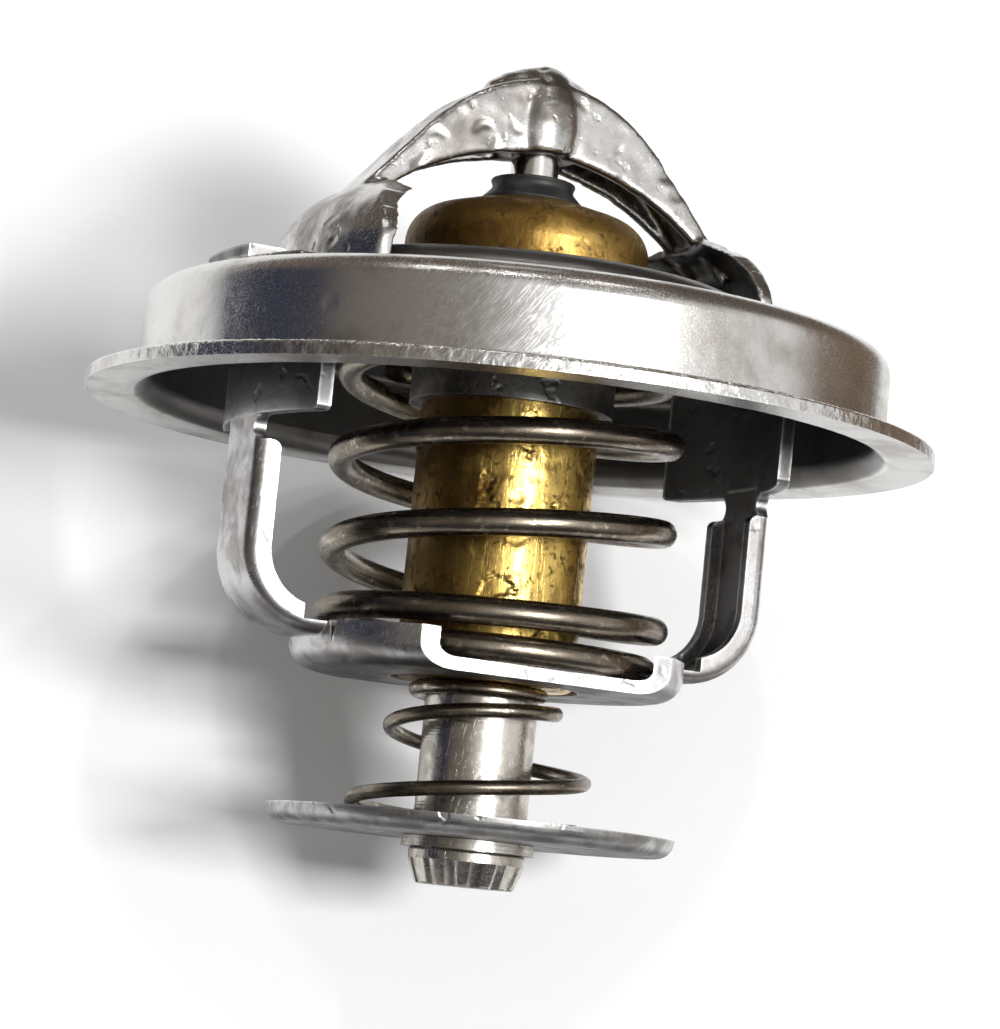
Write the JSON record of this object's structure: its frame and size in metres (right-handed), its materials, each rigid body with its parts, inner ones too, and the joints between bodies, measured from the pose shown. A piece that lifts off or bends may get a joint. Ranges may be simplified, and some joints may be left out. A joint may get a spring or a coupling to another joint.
{
  "type": "coolant temperature valve",
  "caption": "Wax-element coolant valve for a truck engine: flanged plate with a stamped bridge, spring-loaded main disc and a sprung bypass disc on a stem.",
  "frame": {"origin": "centre of the underside of the mounting lip", "axes": "+Z along the valve's axis towards the bridge; X through the bridge's feet and the frame's legs"},
  "size_m": [0.067, 0.067, 0.0655],
  "materials": {
    "steel_sheet": "bright pressed sheet with die marks and scuffs",
    "disc_steel": "dull pressed sheet with burrs",
    "spring_wire": "dark drawn wire with a thin oily sheen",
    "ground_steel": "ground and turned steel",
    "brass": "drawn brass with brown patina and small dents",
    "black_rubber": "matt black rubber",
    "white_plastic": "matt white plastic",
    "wax": "copper-filled wax"
  },
  "bodies": {
    "housing_side": {"flange": "steel_sheet", "upper_bridge": "steel_sheet", "lower_frame": "steel_sheet", "piston": "ground_steel", "main_spring": "spring_wire"},
    "element": {"element_can": "brass", "element_cover": "brass", "element_sleeve": "black_rubber", "backing_washer": "white_plastic", "wax_charge": "wax", "piston_boot": "black_rubber", "valve_disc": "disc_steel", "valve_seal": "black_rubber", "bypass_stem": "ground_steel", "retaining_ring": "spring_wire", "bypass_spring": "spring_wire"},
    "bypass": {"bypass_disc": "disc_steel"}
  },
  "joints": [
    {"name": "valve_travel", "type": "slide", "parent": "housing_side", "child": "element", "axis": [0, 0, -1], "range_m": [0, 0.008], "stiffness_N_per_m": 3000, "springref_m": -0.01, "deforming": ["main_spring"]},
    {"name": "bypass_travel", "type": "slide", "parent": "element", "child": "bypass", "axis": [0, 0, 1], "range_m": [0, 0.005], "stiffness_N_per_m": 500, "springref_m": -0.006, "deforming": ["bypass_spring"]}
  ]
}
